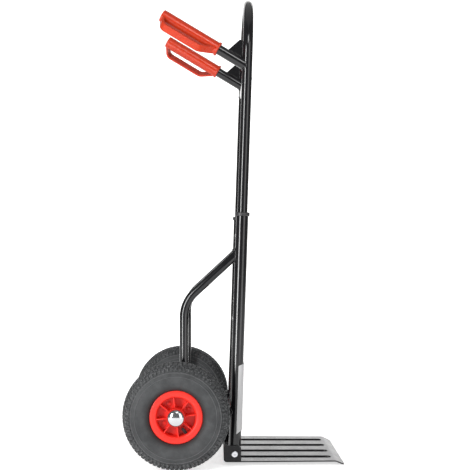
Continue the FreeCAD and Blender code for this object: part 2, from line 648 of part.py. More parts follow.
CASING_MIDDLE_R = (WHEEL_R + RIM_BARREL_R + 6) / 2
TYRE_WALL = 6.0
BEAD_WIDTH = 6.5
AIR_TUBE_GAP = 3.0
AIR_TUBE_WALL = 2.0


def arc_outline(centre_y, centre_r, half_width, height, start, end, steps):
    """Points along part of an ellipse, as (distance from middle, radius) pairs."""
    points = []
    for step in range(steps + 1):
        angle = math.radians(start + (end - start) * step / steps)
        points.append((centre_y + half_width * math.sin(angle), centre_r + height * math.cos(angle)))
    return points


def tyre(side):
    """Rubber cover: a deep round-shouldered casing, open at the beads."""
    height = WHEEL_R - CASING_MIDDLE_R
    outer = arc_outline(WHEEL_CENTRE_Y, CASING_MIDDLE_R, TYRE_HALF_WIDTH, height, -140, 140, 28)
    inner = arc_outline(WHEEL_CENTRE_Y, CASING_MIDDLE_R, TYRE_HALF_WIDTH - TYRE_WALL, height - TYRE_WALL,
                        135, -135, 27)
    bead_out = RIM_HALF_WIDTH - RIM_FLANGE_THICKNESS
    beads_far = [(WHEEL_CENTRE_Y + bead_out, RIM_FLANGE_R + 0.5), (WHEEL_CENTRE_Y + bead_out, RIM_BARREL_R),
                 (WHEEL_CENTRE_Y + bead_out - BEAD_WIDTH, RIM_BARREL_R)]
    beads_near = [(2 * WHEEL_CENTRE_Y - y, r) for y, r in beads_far[::-1]]
    return turned(side, outer + beads_far + inner + beads_near)


def air_ring(side, shrink):
    """The solid ring that the air tube fills, made smaller all round by the amount given."""
    half_width = TYRE_HALF_WIDTH - TYRE_WALL - AIR_TUBE_GAP - shrink
    height = WHEEL_R - CASING_MIDDLE_R - TYRE_WALL - AIR_TUBE_GAP - shrink
    return turned(side, arc_outline(WHEEL_CENTRE_Y, CASING_MIDDLE_R, half_width, height, 0, 345, 23))


def inner_tube(side):
    """Butyl air tube inside the tyre."""
    return air_ring(side, 0).cut(air_ring(side, AIR_TUBE_WALL))


def valve_line(side):
    """Two points of the valve's axis, from the air tube out towards the wheel's face."""
    angle = math.radians(VALVE_ANGLE)
    points = []
    for y, r in ((WHEEL_CENTRE_Y - 4, 68.0), (WHEEL_CENTRE_Y + 25, 33.0)):
        points.append(Vector(AXLE_X + r * math.cos(angle), SIDES[side] * y, AXLE_Z + r * math.sin(angle)))
    return points


def rim_half(side, outward):
    """Half of a moulded rim: bead flange, barrel, web, hub and radial ribs on one side."""
    def face_y(offset):
        return WHEEL_CENTRE_Y + outward * offset
    web = 4.0
    profile = [(0, AXLE_R + 4), (HUB_HALF_LENGTH, AXLE_R + 4), (HUB_HALF_LENGTH, HUB_R), (web, HUB_R),
               (web, RIM_RECESS_R), (RIM_HALF_WIDTH - 3, RIM_RECESS_R), (RIM_HALF_WIDTH, RIM_RECESS_R + 2.5),
               (RIM_HALF_WIDTH, RIM_FLANGE_R - 1), (RIM_HALF_WIDTH - 1, RIM_FLANGE_R),
               (RIM_HALF_WIDTH - RIM_FLANGE_THICKNESS, RIM_FLANGE_R),
               (RIM_HALF_WIDTH - RIM_FLANGE_THICKNESS, RIM_BARREL_R), (0, RIM_BARREL_R)]
    shape = turned(side, [(face_y(y), r) for y, r in profile])
    ribs = []
    for index in range(RIB_COUNT):
        angle = math.radians(RIB_PHASE + index * 360 / RIB_COUNT)
        radial = Vector(math.cos(angle), 0, math.sin(angle))
        thick = Vector(-math.sin(angle), 0, math.cos(angle)) * RIB_THICKNESS
        hub_edge = Vector(AXLE_X, 0, AXLE_Z) + radial * (HUB_R - 1) - thick / 2
        rim_edge = Vector(AXLE_X, 0, AXLE_Z) + radial * (RIM_RECESS_R + 1) - thick / 2
        sign = SIDES[side]
        points = [Vector(hub_edge.x, sign * face_y(web - 1), hub_edge.z),
                  Vector(rim_edge.x, sign * face_y(web - 1), rim_edge.z),
                  Vector(rim_edge.x, sign * face_y(RIM_HALF_WIDTH - 3), rim_edge.z),
                  Vector(hub_edge.x, sign * face_y(RIM_HALF_WIDTH - 1), hub_edge.z)]
        ribs.append(slab(points, thick))
    shape = shape.fuse(ribs).removeSplitter()
    bearing_end = HUB_HALF_LENGTH
    seat = (face_y(bearing_end - BEARING_LENGTH), face_y(bearing_end + 1))
    shape = shape.cut(axle_ring(side, 0, BEARING_R, seat[0], seat[1]))
    for index in range(4):
        angle = math.radians(RIB_PHASE + 22.5 + index * 90)
        x = AXLE_X + RIM_SCREW_CIRCLE_R * math.cos(angle)
        z = AXLE_Z + RIM_SCREW_CIRCLE_R * math.sin(angle)
        near, far = SIDES[side] * (WHEEL_CENTRE_Y - 12), SIDES[side] * (WHEEL_CENTRE_Y + 12)
        shape = shape.cut(rod(Vector(x, near, z), Vector(x, far, z), 2.5))
    if outward > 0:
        start, end = valve_line(side)
        shape = shape.cut(rod(start, end, VALVE_R))
    return shape


def rim_screws(side):
    """Four screws that hold the rim halves together, heads on the inner face."""
    screws = []
    for index in range(4):
        angle = math.radians(RIB_PHASE + 22.5 + index * 90)
        x = AXLE_X + RIM_SCREW_CIRCLE_R * math.cos(angle)
        z = AXLE_Z + RIM_SCREW_CIRCLE_R * math.sin(angle)
        sign = SIDES[side]
        shank = rod(Vector(x, sign * (WHEEL_CENTRE_Y - 8), z), Vector(x, sign * (WHEEL_CENTRE_Y + 4), z), 2.5)
        head = rod(Vector(x, sign * (WHEEL_CENTRE_Y - 8), z), Vector(x, sign * (WHEEL_CENTRE_Y - 4), z), 4.5)
        screws.append(shank.fuse(head).removeSplitter())
    return Part.Compound(screws)


def valve(side):
    """Rubber-covered valve stem with its cap, leaning out of the rim's recess."""
    start, end = valve_line(side)
    along = (end - start).normalize()
    stem = rod(start, end - along * 7, VALVE_R)
    neck = rod(end - along * 8, end - along * 6, VALVE_R - 1.2)
    cap = rod(end - along * 6, end + along * 3, VALVE_R - 0.4)
    return stem.fuse([neck, cap]).removeSplitter().cut(air_ring(side, 0))


for side_name in SIDES:
    parts[f"tyre_{side_name}"] = tyre(side_name)
    parts[f"inner_tube_{side_name}"] = inner_tube(side_name)
    parts[f"rim_outer_{side_name}"] = rim_half(side_name, 1)
    parts[f"rim_inner_{side_name}"] = rim_half(side_name, -1)
    parts[f"rim_screws_{side_name}"] = rim_screws(side_name)
    parts[f"valve_{side_name}"] = valve(side_name)
    for place, direction in (("outer", 1), ("inner", -1)):
        outer_end = WHEEL_CENTRE_Y + direction * HUB_HALF_LENGTH
        inner_end = outer_end - direction * BEARING_LENGTH
        parts[f"bearing_{place}_{side_name}"] = axle_ring(
            side_name, AXLE_R + RUNNING_GAP, BEARING_R, min(inner_end, outer_end), max(inner_end, outer_end))

# ---- files -------------------------------------------------------------------------------------

os.makedirs("parts", exist_ok=True)
for name, shape in parts.items():
    shape.exportStep(f"parts/{name}.step")
    box = shape.BoundBox
    print(f"{name:22s} {shape.isValid()} {len(shape.Solids)} solid(s) {shape.Volume / 1000:9.1f} cm3"
          f"  x {box.XMin:7.1f} {box.XMax:7.1f}  y {box.YMin:7.1f} {box.YMax:7.1f}"
          f"  z {box.ZMin:7.1f} {box.ZMax:7.1f}")
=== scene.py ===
"""Two-wheeled hand truck: black tube frame, air-filled wheels, folding toe plate, red grips."""

import math

import bmesh
import bpy
from mathutils import Matrix, Vector


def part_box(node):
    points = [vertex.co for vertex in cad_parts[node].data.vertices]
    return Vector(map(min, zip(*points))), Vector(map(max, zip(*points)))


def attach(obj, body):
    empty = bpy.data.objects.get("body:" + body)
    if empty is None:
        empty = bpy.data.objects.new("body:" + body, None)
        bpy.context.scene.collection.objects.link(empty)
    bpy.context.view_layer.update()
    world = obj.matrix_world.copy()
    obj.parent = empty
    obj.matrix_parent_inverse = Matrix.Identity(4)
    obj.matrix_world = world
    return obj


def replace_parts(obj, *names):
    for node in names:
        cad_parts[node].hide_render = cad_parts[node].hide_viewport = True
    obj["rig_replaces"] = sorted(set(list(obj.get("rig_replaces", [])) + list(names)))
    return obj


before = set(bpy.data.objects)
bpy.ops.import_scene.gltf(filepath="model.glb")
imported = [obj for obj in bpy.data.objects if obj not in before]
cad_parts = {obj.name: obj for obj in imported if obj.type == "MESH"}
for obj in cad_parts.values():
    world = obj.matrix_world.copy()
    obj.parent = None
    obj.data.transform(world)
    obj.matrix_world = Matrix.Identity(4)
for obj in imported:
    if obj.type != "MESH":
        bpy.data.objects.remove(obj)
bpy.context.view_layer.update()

# ---- welded lower frame ------------------------------------------------------------------------
# Two 30 mm leg tubes and two cross tubes of mild steel, welded and then powder-coated together.
# The coat is gloss black with a fine orange-peel skin and a little settled dust.

MM = 0.001
SIDES = ("left", "right")


class Level:
    """A value that changes over a surface. Arithmetic on it adds Math nodes."""

    def __init__(self, finish, socket):
        self.finish = finish
        self.socket = socket

    def maths(self, operation, first, second):
        return self.finish.node("ShaderNodeMath", {"operation": operation}, {0: first, 1: second})

    def __add__(self, other):
        return self.maths("ADD", self, other)

    def __sub__(self, other):
        return self.maths("SUBTRACT", self, other)

    def __rsub__(self, other):
        return self.maths("SUBTRACT", other, self)

    def __mul__(self, other):
        return self.maths("MULTIPLY", self, other)

    def __pow__(self, other):
        return self.maths("POWER", self, other)

    __radd__ = __add__
    __rmul__ = __mul__


class Finish:
    """A finish: one Principled surface, its constants, and the nodes that vary it over a piece."""

    def __init__(self, name, constants):
        self.material = bpy.data.materials.new(name)
        self.material.use_nodes = True
        self.tree = self.material.node_tree
        self.surface = self.tree.nodes["Principled BSDF"]
        for label, value in constants.items():
            self.surface.inputs[label].default_value = value
        self.place = self.node("ShaderNodeTexCoord", output="Object")

    def node(self, kind, settings=None, sockets=None, output=0):
        """Any node: its settings are set first, then the values or links of its sockets."""
        node = self.tree.nodes.new(kind)
        for label, value in (settings or {}).items():
            setattr(node, label, value)
        for label, value in (sockets or {}).items():
            if isinstance(value, Level):
                self.tree.links.new(value.socket, node.inputs[label])
            else:
                node.inputs[label].default_value = value
        return Level(self, node.outputs[output])

    def noise(self, per_metre, detail=2.0, roughness=0.5):
        return self.node("ShaderNodeTexNoise", sockets={
            "Vector": self.place, "Scale": per_metre, "Detail": detail, "Roughness": roughness})

    def between(self, level, low, high):
        """0 on the low side, 1 on the high side, and smooth in between."""
        return self.node("ShaderNodeMapRange", {"interpolation_type": "SMOOTHSTEP"}, {
            "Value": level, "From Min": low, "From Max": high})

    def blend(self, share, first, second):
        """A colour mixed from two others."""
        colours = {0: share, 6: first, 7: second}
        for label in (6, 7):
            if not isinstance(colours[label], Level):
                colours[label] = (*colours[label], 1.0)
        return self.node("ShaderNodeMix", {"data_type": "RGBA"}, colours, output=2)

    def vary(self, label, level):
        self.tree.links.new(level.socket, self.surface.inputs[label])

    def relief(self, height, depth):
        """Bumps of the given depth in metres, from a height of 0 to 1."""
        self.vary("Normal", self.node("ShaderNodeBump", sockets={"Height": height, "Distance": depth}))

    def on(self, *names):
        """Puts the finish on CAD nodes."""
        for name in names:
            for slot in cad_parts[name].material_slots:
                slot.material = self.material


def powder_coat(name, colour, dust_colour, roughness, peel_depth, gloss=0.4, lacquer=0.3):
    """Baked powder paint: orange peel, faint dust on what faces up, roughness that wanders."""
    finish = Finish(name, {
        "IOR": 1.5, "Specular IOR Level": gloss, "Coat Weight": lacquer, "Coat Roughness": 0.08})
    cloud = finish.noise(18.0, detail=4.0)
    specks = finish.between(finish.noise(900.0, detail=1.0), 0.72, 0.80)
    facing = finish.node("ShaderNodeSeparateXYZ", sockets={
        0: finish.node("ShaderNodeNewGeometry", output="Normal")}, output="Z")
    dust = finish.between(facing, 0.3, 1.0) * finish.between(cloud, 0.35, 0.75) * 0.12
    finish.vary("Base Color", finish.blend(dust + specks * 0.05, colour, dust_colour))
    finish.vary("Roughness", roughness + cloud * 0.08 + dust * 0.3)
    finish.relief(finish.noise(420.0, detail=2.0, roughness=0.4), peel_depth)
    return finish


def both(*names):
    """The names of the left and right pieces of each kind."""
    return [f"{name}_{side}" for name in names for side in SIDES]


frame_black = powder_coat(
    "frame_black_gloss", (0.004, 0.004, 0.005), (0.11, 0.105, 0.10), 0.12, 0.006 * MM)
frame_black.on("lower_crossbar_1", "lower_crossbar_2", *both("lower_tube", "axle_plate"))

# ---- wheel brackets ----------------------------------------------------------------------------
# Bent 22 mm tubes: from the foot of each leg back under the axle, up beside the wheel and forward
# again to the leg. The upper end is squashed flat in a press, and both ends are welded.

FRAME_LEAN = math.radians(1.9)
LOWER_BEND, UPPER_BEND = 45.0 * MM, 84.0 * MM        # bend radii of the tube's middle line
FOOT_X, ELBOW_Z = -7.5 * MM, 400.0 * MM              # front end; where upright and slope would cross
BRACKET_TOP_X, BRACKET_TOP_Z = 16.6, 530.0           # where the slope meets the leg's axis
TOP_CUT = 14.4 * MM                                  # the end is cut this far behind that point
PRESS_LENGTH = 62.0 * MM
PRESSED_WIDTHS = (0.97, 0.90, 0.80, 0.70, 0.63, 0.60, 0.60, 0.60)
ACROSS_TRUCK = Matrix.Scale(-1.0, 4, (0, 1, 0))


def start_piece(name, add, **settings):
    """Adds a primitive, names it and opens it in edit mode."""
    bpy.ops.object.select_all(action="DESELECT")
    add(**settings)
    piece = bpy.context.object
    piece.name = name
    piece.data.name = name
    bpy.ops.object.mode_set(mode="EDIT")
    bpy.ops.mesh.select_mode(type="VERT")
    return piece


def extrude_to(shift, stretch=(1.0, 1.0, 1.0)):
    """Draws the selected ring out by the shift, then stretches it about its own middle."""
    bpy.ops.mesh.extrude_region_move(TRANSFORM_OT_translate={"value": shift})
    bpy.ops.transform.resize(value=stretch)


def settle(piece, finish, body, bevel=0.0, segments=2, smooth=35):
    """Closes edit mode, rounds the edges, puts the place in the mesh, hangs the piece on its body."""
    bpy.ops.object.mode_set(mode="OBJECT")
    bpy.ops.object.select_all(action="DESELECT")
    piece.select_set(True)
    bpy.context.view_layer.objects.active = piece
    if bevel:
        rounding = piece.modifiers.new("rounding", "BEVEL")
        rounding.width = bevel
        rounding.segments = segments
        rounding.limit_method = "ANGLE"
        rounding.angle_limit = math.radians(smooth)
        bpy.ops.object.modifier_apply(modifier=rounding.name)
    bpy.ops.object.transform_apply(location=True, rotation=True, scale=True)
    bpy.ops.object.shade_smooth_by_angle(angle=math.radians(smooth))
    piece.data.materials.clear()
    piece.data.materials.append(finish.material)
    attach(piece, body)
    return piece


def copied(piece, name, body, move=ACROSS_TRUCK):
    """The same piece in another place, with a mesh of its own."""
    twin = piece.copy()
    twin.data = piece.data.copy()
    twin.name = name
    twin.data.name = name
    bpy.context.scene.collection.objects.link(twin)
    twin.parent = None
    if "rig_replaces" in twin:
        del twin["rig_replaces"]
    twin.data.transform(move)
    if move.is_negative:
        twin.data.flip_normals()
    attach(twin, body)
    return twin


def wheel_bracket():
    """The left bracket, as one tube drawn from its front end."""
    low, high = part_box("wheel_bracket_left")
    radius = (high.y - low.y) / 2
    upright_x, run_z, y = low.x + radius, low.z + radius, (low.y + high.y) / 2
    elbow = Vector((upright_x, y, ELBOW_Z))
    join = Vector((BRACKET_TOP_X * MM, y, BRACKET_TOP_Z * MM))
    slope = (join - elbow).normalized()
    turn = math.atan2(slope.x, slope.z)
    bend_reach = UPPER_BEND * math.tan(turn / 2)
    piece = start_piece("bracket_tube_left", bpy.ops.mesh.primitive_circle_add, vertices=36,
                        radius=radius, location=(FOOT_X, y, run_z), rotation=(0, math.pi / 2, 0),
                        fill_type="NGON")
    extrude_to(Vector((upright_x + LOWER_BEND - FOOT_X, 0, 0)))
    bpy.ops.mesh.spin(steps=14, angle=-math.pi / 2, axis=(0, 1, 0),
                      center=(upright_x + LOWER_BEND, y, run_z + LOWER_BEND))
    extrude_to(Vector((0, 0, ELBOW_Z - bend_reach - run_z - LOWER_BEND)))
    bpy.ops.mesh.spin(steps=12, angle=-turn, axis=(0, 1, 0),
                      center=(upright_x + UPPER_BEND, y, ELBOW_Z - bend_reach))
    extrude_to(slope * ((join - elbow).length - bend_reach - PRESS_LENGTH))
    width_before = 1.0
    for width in PRESSED_WIDTHS:
        extrude_to(slope * PRESS_LENGTH / len(PRESSED_WIDTHS), (1.0, width / width_before, 1.0))
        width_before = width
    behind_leg = Vector((-math.cos(FRAME_LEAN), 0, math.sin(FRAME_LEAN)))
    bpy.ops.mesh.select_all(action="SELECT")
    bpy.ops.mesh.bisect(plane_co=join + behind_leg * TOP_CUT, plane_no=-behind_leg,
                        clear_outer=True, use_fill=True)
    bpy.ops.mesh.select_all(action="SELECT")
    bpy.ops.mesh.normals_make_consistent(inside=False)
    return piece


bracket = settle(wheel_bracket(), frame_black, "lower_frame", smooth=50)
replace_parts(bracket, "wheel_bracket_left")
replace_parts(copied(bracket, "bracket_tube_right", "lower_frame"), "wheel_bracket_right")

# ---- upper frame -------------------------------------------------------------------------------
# The 25 mm tube is bent to a bow at the top and slides in the legs. Cross tube, handle tubes and
# gussets are welded to it, and it has the same black coat.

frame_black.on("upper_loop", "upper_crossbar", *both("handle_tube", "gusset"))

# ---- weld beads --------------------------------------------------------------------------------
# Fillet welds laid by hand where the tubes meet, a row of small overlapping ripples under the same
# black coat: cross tubes, handles and brackets all round, gussets along both edges.

PIVOT_Z = 29.5
HANDLE_HEIGHT, HANDLE_RISE = 953.0, math.radians(29.1)
LEG_R, UPPER_LEG_R, LEG_Y = 15.0, 12.5, 153.0
CROSSBAR_HEIGHTS, UPPER_CROSSBAR_HEIGHT, BRACKET_FOOT_HEIGHT = (315.0, 540.0), 925.0, 100.5
CROSSBAR_WELD_R = 11.6                 # where the bead's middle runs round a cross tube or bracket
HANDLE_TOP = 12.4                      # the same on a 25 mm tube, from its axis
GUSSET_WELD_Y = {"outer": 2.6, "inner": -2.6}
GUSSET_ON_LEG, GUSSET_ON_HANDLE = (980.0, 1014.0), (24.0, 55.0)    # heights; reaches along the handle
RIPPLES = (0.86, 1.12)                 # the bead swells and shrinks from point to point
RIPPLE_STEP = 2.2
UP_FRAME = Vector((math.sin(FRAME_LEAN), 0, math.cos(FRAME_LEAN)))


def on_frame(x, y, height):
    """A point in metres, from upright-frame measures in mm: forward, left, height over the pivot."""
    forward = Vector((math.cos(FRAME_LEAN), 0, -math.sin(FRAME_LEAN)))
    return (forward * x + Vector((0, y, PIVOT_Z)) + UP_FRAME * height) * MM


def frame_direction(x, height):
    return (on_frame(x, 0, height) - on_frame(0, 0, 0)).normalized()


def draw_outline(name, points):
    """A line of edges through the points, drawn by extruding one point."""
    piece = start_piece(name, bpy.ops.mesh.primitive_plane_add, size=MM, location=points[0])
    bpy.ops.mesh.merge(type="CENTER")
    for start, end in zip(points, points[1:]):
        bpy.ops.mesh.extrude_region_move(TRANSFORM_OT_translate={"value": end - start})
    return piece


def collar_route(middle, bar, bar_width, bar_thickness, post_r, points=44):
    """The closed line where a bar or flattened tube, running from a leg's axis, leaves the leg."""
    bar = bar.normalized()
    wide = bar.cross(Vector((0, 1, 0)))
    wide = wide.normalized() if wide.length > 0.1 else UP_FRAME
    thick = bar.cross(wide)
    route = []
    for index in range(points):
        turn = math.tau * index / points
        start = (wide * math.cos(turn) * bar_width + thick * math.sin(turn) * bar_thickness) * MM
        flat_start = start - UP_FRAME * start.dot(UP_FRAME)
        flat_bar = bar - UP_FRAME * bar.dot(UP_FRAME)
        a, b = flat_bar.length_squared, 2 * flat_start.dot(flat_bar)
        c = flat_start.length_squared - (post_r * MM) ** 2
        run = (-b + math.sqrt(max(b * b - 4 * a * c, 0.0))) / (2 * a)
        route.append(middle + start + bar * run)
    return route


def straight_route(start, end):
    count = int((end - start).length / MM / RIPPLE_STEP)
    return [start.lerp(end, index / count) for index in range(count + 1)]


def lay_bead(name, route, bead_r, body, closed=True):
    """A rippled bead along the route on the left leg, from a drawn line, and its twin on the right."""
    bead = draw_outline(f"{name}_left", route + route[:1] if closed else route)
    bpy.ops.mesh.select_all(action="SELECT")
    bpy.ops.mesh.remove_doubles(threshold=1e-6)
    bpy.ops.object.mode_set(mode="OBJECT")
    bpy.ops.object.convert(target="CURVE")
    bead.data.bevel_depth = bead_r * MM
    bead.data.bevel_resolution = 3
    bead.data.use_fill_caps = not closed
    for line in bead.data.splines:
        for index, point in enumerate(line.points):
            point.radius = RIPPLES[index % 2]
    bpy.ops.object.convert(target="MESH")
    bpy.ops.object.mode_set(mode="EDIT")
    bpy.ops.mesh.select_all(action="SELECT")
    bpy.ops.mesh.remove_doubles(threshold=1e-6)
    bpy.ops.mesh.normals_make_consistent(inside=False)
    settle(bead, frame_black, body, smooth=60)
    copied(bead, f"{name}_right", body)


inward, backward = Vector((0, -1, 0)), Vector((-1, 0, 0))
bracket_slope = Vector((-141.1, 0, -130.0))            # down and back from the leg
handle_axis = on_frame(0, LEG_Y, HANDLE_HEIGHT)
handle_along = frame_direction(-math.cos(HANDLE_RISE), math.sin(HANDLE_RISE))
handle_square = frame_direction(math.sin(HANDLE_RISE), math.cos(HANDLE_RISE))

for number, height in enumerate(CROSSBAR_HEIGHTS, start=1):
    lay_bead(f"weld_crossbar_{number}", collar_route(
        on_frame(0, LEG_Y, height), inward, CROSSBAR_WELD_R, CROSSBAR_WELD_R, LEG_R),
        1.9, "lower_frame")
lay_bead("weld_upper_crossbar", collar_route(
    on_frame(0, LEG_Y, UPPER_CROSSBAR_HEIGHT), inward, CROSSBAR_WELD_R, CROSSBAR_WELD_R,
    UPPER_LEG_R - 0.2), 1.8, "upper_frame")
lay_bead("weld_handle", collar_route(
    handle_axis, handle_along, 12.9, HANDLE_TOP, UPPER_LEG_R), 2.0, "upper_frame")
lay_bead("weld_bracket_top", collar_route(
    Vector((BRACKET_TOP_X, LEG_Y, BRACKET_TOP_Z)) * MM, bracket_slope, 11.4, 6.8, LEG_R),
    2.3, "lower_frame")
lay_bead("weld_bracket_foot", collar_route(
    on_frame(0, LEG_Y, BRACKET_FOOT_HEIGHT), backward, CROSSBAR_WELD_R, CROSSBAR_WELD_R, LEG_R),
    2.0, "lower_frame")
for face, offset in GUSSET_WELD_Y.items():
    beside = LEG_Y + offset
    lay_bead(f"weld_gusset_leg_{face}", straight_route(
        *(on_frame(-HANDLE_TOP, beside, height) for height in GUSSET_ON_LEG)),
        1.5, "upper_frame", closed=False)
    foot = on_frame(0, beside, HANDLE_HEIGHT) + handle_square * HANDLE_TOP * MM
    lay_bead(f"weld_gusset_handle_{face}", straight_route(
        *(foot + handle_along * reach * MM for reach in GUSSET_ON_HANDLE)),
        1.5, "upper_frame", closed=False)

# ---- guide bushes and plugs --------------------------------------------------------------------
# Injection-moulded black nylon: a collar driven into the mouth of each leg tube, and a plug on the
# end of each upper leg. The moulding has a fine spark-eroded grain.

bush_nylon = Finish("bush_nylon", {"IOR": 1.53})
grain = bush_nylon.noise(1600.0, detail=3.0)
bush_nylon.vary("Base Color", bush_nylon.blend(grain, (0.010, 0.010, 0.011), (0.028, 0.028, 0.030)))
bush_nylon.vary("Roughness", 0.38 + grain * 0.2)
bush_nylon.relief(grain, 0.06 * MM)
bush_nylon.on(*both("guide_bush", "guide_plug"))

# ---- back plate --------------------------------------------------------------------------------
# Thin sheet across the front of both legs, wrapped round them and tacked. It has a light grey
# coat, a little rubbed by the loads that slide on it.

back_plate_grey = Finish("back_plate_light_grey", {"IOR": 1.48})
cloud = back_plate_grey.noise(14.0, detail=5.0, roughness=0.6)
rubs = back_plate_grey.between(back_plate_grey.noise(120.0, detail=3.0), 0.60, 0.72)
back_plate_grey.vary("Base Color", back_plate_grey.blend(
    rubs * 0.35 + cloud * 0.25, (0.50, 0.50, 0.505), (0.36, 0.36, 0.365)))
back_plate_grey.vary("Roughness", 0.34 + cloud * 0.14 + rubs * 0.1)
back_plate_grey.relief(back_plate_grey.noise(380.0), 0.04 * MM)
back_plate_grey.on("back_plate")

# ---- bought-in steel -----------------------------------------------------------------------------
# Axle, spacers, bearings and lock springs are drawn bar, turned rings and spring wire, left bare and
# lightly oiled. Bolts, nuts, washers and rim screws are stock ones, zinc-plated and bright.

turned_steel = Finish("turned_steel", {"Metallic": 1.0})
marks = turned_steel.noise(700.0, detail=4.0)
tarnish = turned_steel.noise(40.0, detail=3.0)
turned_steel.vary("Base Color", turned_steel.blend(tarnish, (0.50, 0.49, 0.47), (0.34, 0.33, 0.32)))
turned_steel.vary("Roughness", 0.26 + marks * 0.22)
turned_steel.relief(marks, 0.03 * MM)
turned_steel.on(
    "axle", *both("axle_spacer", "bearing_outer", "bearing_inner", "snap_button", "snap_spring"))

bright_zinc = Finish("bright_zinc", {"Metallic": 1.0})
crystals = bright_zinc.node("ShaderNodeTexVoronoi", sockets={
    "Vector": bright_zinc.place, "Scale": 700.0}, output="Distance")
haze = bright_zinc.noise(90.0, detail=3.0)
bright_zinc.vary("Base Color", bright_zinc.blend(haze, (0.80, 0.81, 0.83), (0.62, 0.64, 0.68)))
bright_zinc.vary("Roughness", 0.20 + crystals * 0.12 + haze * 0.10)
bright_zinc.relief(crystals, 0.03 * MM)
bright_zinc.on("pivot_bolts", "pivot_nuts", "pivot_washers", "axle_washers", *both("rim_screws"))

# ---- toe plate ---------------------------------------------------------------------------------
# One 3 mm sheet, pressed with four grooves, folded up into ears at the sides and down to a lip in
# front. It has the same powder paint as the frame, in satin black.

toe_plate_black = powder_coat(
    "toe_plate_satin_black", (0.005, 0.005, 0.006), (0.10, 0.097, 0.094), 0.20, 0.03 * MM,
    gloss=0.3, lacquer=0.0)
toe_plate_black.on("toe_plate")

# ---- tyres -------------------------------------------------------------------------------------
# Moulded block-tread rubber covers: a zigzag centre rib, blocks and edge studs on each shoulder and
# two raised rings on each sidewall. Dark grey and dull, the treads and rings worn paler. Painted shade
# darkens the lower sidewall towards the rim.

TREAD_PITCHES, STEPS_PER_PITCH = 72, 4         # how often the pattern repeats, and its parts
TREAD_DEPTH, WALL_RING_HEIGHT = 2.7 * MM, 1.3 * MM
WALL_RINGS = ((107.0, 108.6), (97.4, 98.8))    # from radius, to radius
WALL_HALF_WIDTH = 41.0 * MM
CASING_MIDDLE_R, CASING_RISE = 93.0 * MM, 34.2 * MM
LINING_HALF_WIDTH, LINING_RISE = 35.0 * MM, 31.0 * MM
SHOULDER = 2.6                                 # how square the shoulder is; 2 would be round


def spin_outline(centre, steps, axis=(0, 1, 0)):
    """Turns the outline a full turn about the axis into a closed ring."""
    bpy.ops.mesh.select_all(action="SELECT")
    bpy.ops.mesh.spin(steps=steps, angle=math.tau, center=centre, axis=axis)
    bpy.ops.mesh.select_all(action="SELECT")
    bpy.ops.mesh.remove_doubles(threshold=1e-6)
    bpy.ops.mesh.normals_make_consistent(inside=False)


def raise_faces(piece, test, rise):
    """In edit mode, raises the faces that pass the test, each patch as one."""
    bpy.ops.mesh.select_all(action="DESELECT")
    bpy.ops.mesh.select_mode(type="FACE")
    mesh = bmesh.from_edit_mesh(piece.data)
    for face in mesh.faces:
        face.select_set(test(face))
    mesh.select_flush_mode()
    bmesh.update_edit_mesh(piece.data)
    bpy.ops.mesh.extrude_region_shrink_fatten(TRANSFORM_OT_shrink_fatten={"value": rise})


def tyre_half():
    """(distance from the middle, radius) from the crown down to the bead, in metres."""
    line = []
    for y in (0.0, 7.0, 12.0, 18.0, 24.0, 27.5, 32.0, 36.5):
        share = (y * MM / WALL_HALF_WIDTH) ** SHOULDER
        line.append((y * MM, CASING_MIDDLE_R + CASING_RISE * (1 - share) ** (1 / SHOULDER)))
    for radius in (110.5, 108.6, 107.0, 103.0, 98.8, 97.4, 93.0):
        share = ((radius * MM - CASING_MIDDLE_R) / CASING_RISE) ** SHOULDER
        line.append((WALL_HALF_WIDTH * (1 - share) ** (1 / SHOULDER), radius * MM))
    for degrees in (15, 32, 50, 66, 80, 90):
        turn = math.radians(degrees)
        line.append(((26 + 15 * math.cos(turn)) * MM, (93 - 28.5 * math.sin(turn)) * MM))
    return line + [(23.5 * MM, 64.5 * MM), (23.5 * MM, 50.2 * MM), (17.2 * MM, 50.2 * MM)]


tyre_low, tyre_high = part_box("tyre_left")
wheel_centre = (tyre_low + tyre_high) / 2

tyre_rubber = Finish("tyre_rubber_dark_grey", {"IOR": 1.52, "Specular IOR Level": 0.35})
from_hub = tyre_rubber.node(
    "ShaderNodeSeparateXYZ", sockets={0: tyre_rubber.place}, output="X") - wheel_centre.x
above_hub = tyre_rubber.node(
    "ShaderNodeSeparateXYZ", sockets={0: tyre_rubber.place}, output="Z") - wheel_centre.z
out_from_axle = (from_hub * from_hub + above_hub * above_hub) ** 0.5
talc = tyre_rubber.noise(30.0, detail=6.0, roughness=0.65)
pores = tyre_rubber.noise(1300.0)
# Painted shade: the lower sidewall turns darker from 80 mm down to 64 mm, as if the recess by the rim
# lay in shade.
painted_shade_by_rim = tyre_rubber.between(out_from_axle, 80.0 * MM, 64.0 * MM)
scuffs = (tyre_rubber.between(tyre_rubber.noise(260.0, detail=3.0), 0.50, 0.62)
          * tyre_rubber.between(out_from_axle, 110.0 * MM, 116.0 * MM))
ring_wear = sum(
    tyre_rubber.between(out_from_axle, (start - 0.6) * MM, (start + 0.4) * MM)
    * tyre_rubber.between(out_from_axle, (end + 0.8) * MM, (end - 0.2) * MM)
    for start, end in WALL_RINGS)
clean_rubber = tyre_rubber.blend(
    tyre_rubber.between(talc, 0.3, 0.75), (0.028, 0.0295, 0.031), (0.060, 0.062, 0.064))
worn_rubber = tyre_rubber.blend(scuffs * 0.55 + ring_wear * 0.35, clean_rubber, (0.16, 0.162, 0.165))
# The painted shade by the rim takes the rubber nearly to black.
tyre_rubber.vary("Base Color", tyre_rubber.blend(painted_shade_by_rim * 0.75, worn_rubber, (0.012, 0.012, 0.012)))
tyre_rubber.vary("Roughness", 0.56 + talc * 0.25)
tyre_rubber.relief(pores * 0.6 + talc * 0.4, 0.12 * MM)

